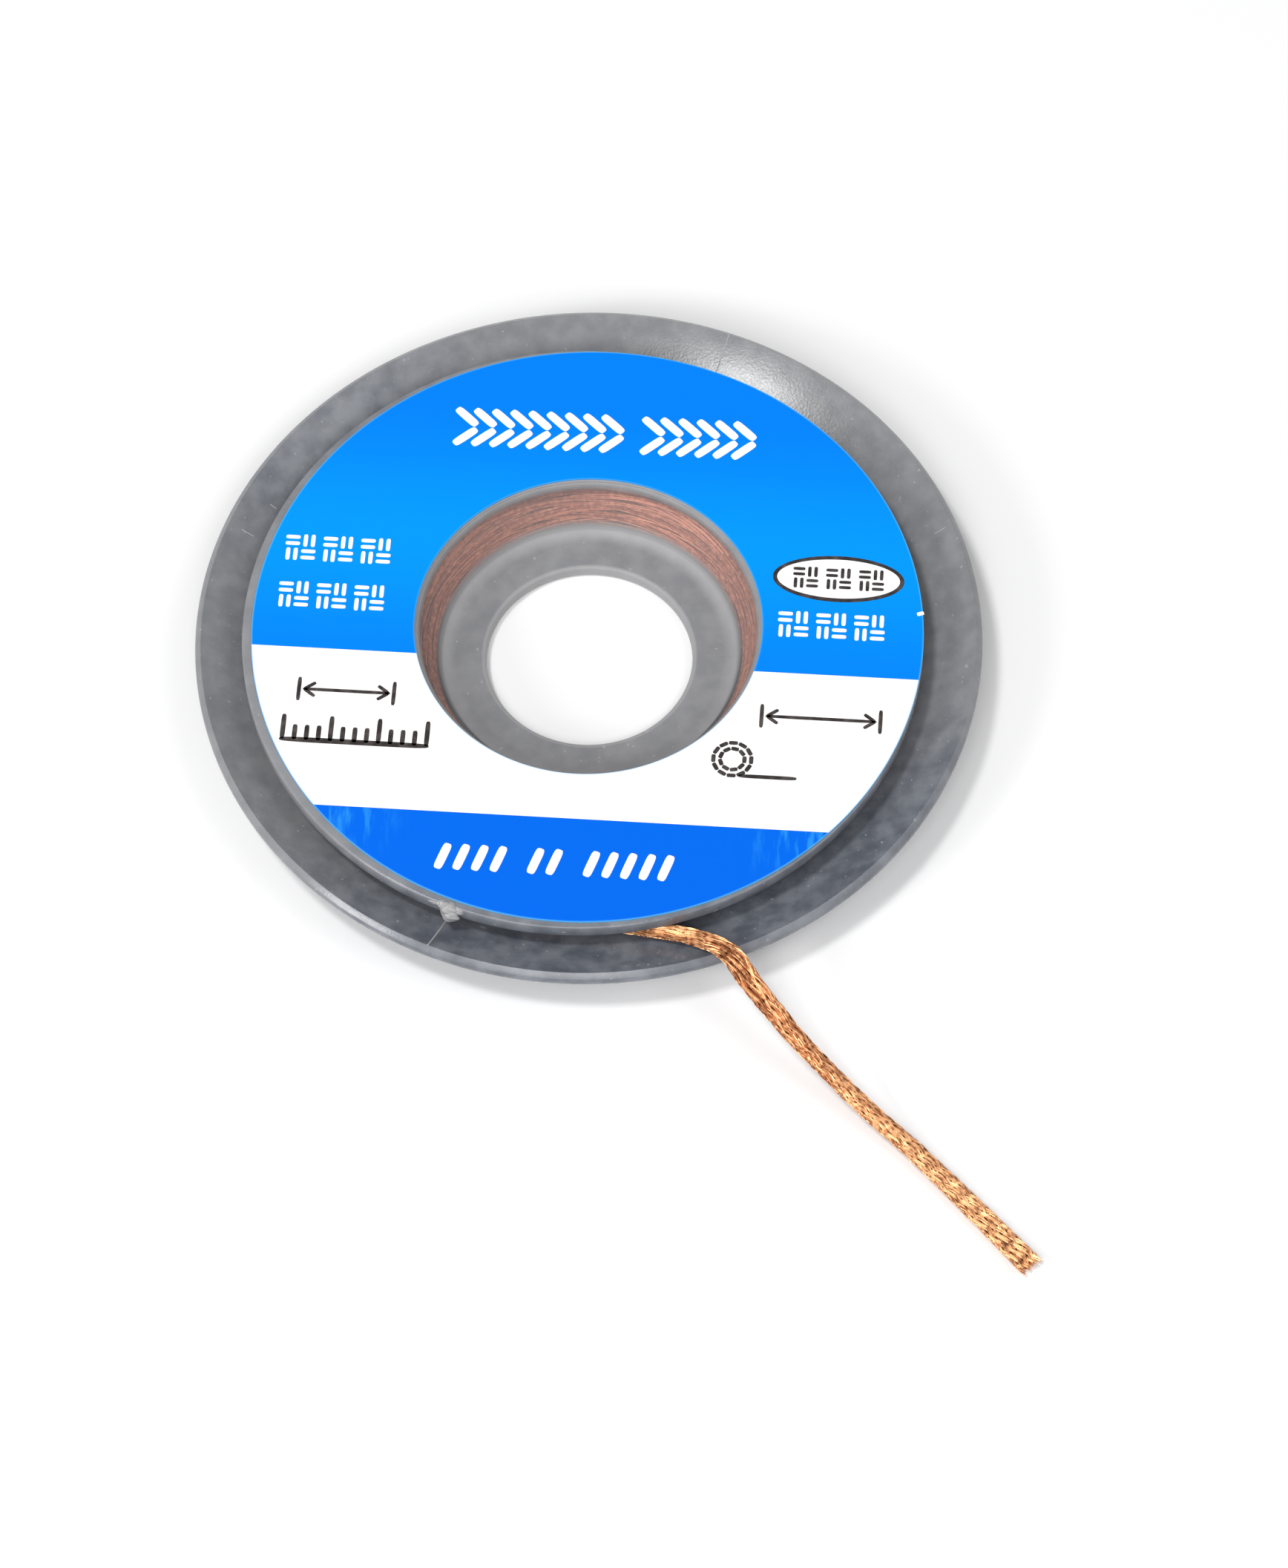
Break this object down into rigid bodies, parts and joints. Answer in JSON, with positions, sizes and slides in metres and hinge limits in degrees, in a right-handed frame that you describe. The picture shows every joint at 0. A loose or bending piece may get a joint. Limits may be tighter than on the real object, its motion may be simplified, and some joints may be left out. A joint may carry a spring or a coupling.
{
  "type": "desoldering braid reel",
  "caption": "Flat copper desoldering braid wound on a small two-flange plastic reel with a round label, its loose end running out over the rim.",
  "frame": {"origin": "centre of the back flange's underside, on the reel's axis", "axes": "+Z along the reel's axis, from the back flange to the labelled front flange; the loose braid leaves towards -Y and +X"},
  "size_m": [0.0564, 0.076, 0.0052],
  "materials": {
    "spool_plastic": "frosted translucent smoky grey moulded plastic",
    "label_print": "semi-gloss printed sticker, blue with a white band",
    "wound_copper": "bare braided copper wire",
    "tail_copper": "bare braided copper wire, bright"
  },
  "bodies": {
    "root": {"spool": "spool_plastic", "label": "label_print", "winding": "wound_copper", "braid_tail": "tail_copper"}
  },
  "joints": []
}
